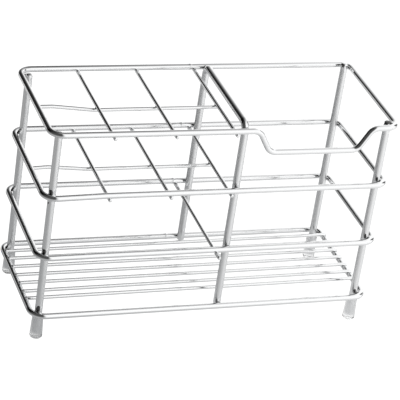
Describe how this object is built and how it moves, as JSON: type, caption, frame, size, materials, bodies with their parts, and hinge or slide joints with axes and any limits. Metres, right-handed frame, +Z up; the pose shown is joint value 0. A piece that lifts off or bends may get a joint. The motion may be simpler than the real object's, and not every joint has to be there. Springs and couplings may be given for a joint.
{
  "type": "toothbrush holder",
  "caption": "Free-standing wire toothbrush holder: tiered rectangular rings on corner posts, cross-wired brush slots, a divider, an open side with a dipped rim, a wire floor and sleeve feet.",
  "frame": {"origin": "on the ground, under the middle of the rings, level with the flat bottoms of the feet", "axes": "+X along the rack's length, from the brush slots to the open compartment; +Y from the dipped front rail to the back; +Z up"},
  "size_m": [0.1904, 0.084, 0.1259],
  "materials": {
    "polished_steel": "polished",
    "grey_plastic": "satin"
  },
  "bodies": {
    "root": {"top_rim": "polished_steel", "second_rim": "polished_steel", "third_rim": "polished_steel", "base_rim": "polished_steel", "post_front_left": "polished_steel", "post_front_right": "polished_steel", "post_back_left": "polished_steel", "post_back_right": "polished_steel", "divider": "polished_steel", "upper_cross_wire_1": "polished_steel", "upper_cross_wire_2": "polished_steel", "upper_cross_wire_3": "polished_steel", "upper_long_wire": "polished_steel", "middle_cross_wire_1": "polished_steel", "middle_cross_wire_2": "polished_steel", "middle_cross_wire_3": "polished_steel", "middle_long_wire": "polished_steel", "lower_cross_wire": "polished_steel", "floor_wire_1": "polished_steel", "floor_wire_2": "polished_steel", "floor_wire_3": "polished_steel", "floor_wire_4": "polished_steel", "floor_wire_5": "polished_steel", "floor_wire_6": "polished_steel", "floor_wire_7": "polished_steel", "foot_front_left": "grey_plastic", "foot_front_right": "grey_plastic", "foot_back_left": "grey_plastic", "foot_back_right": "grey_plastic"}
  },
  "joints": []
}
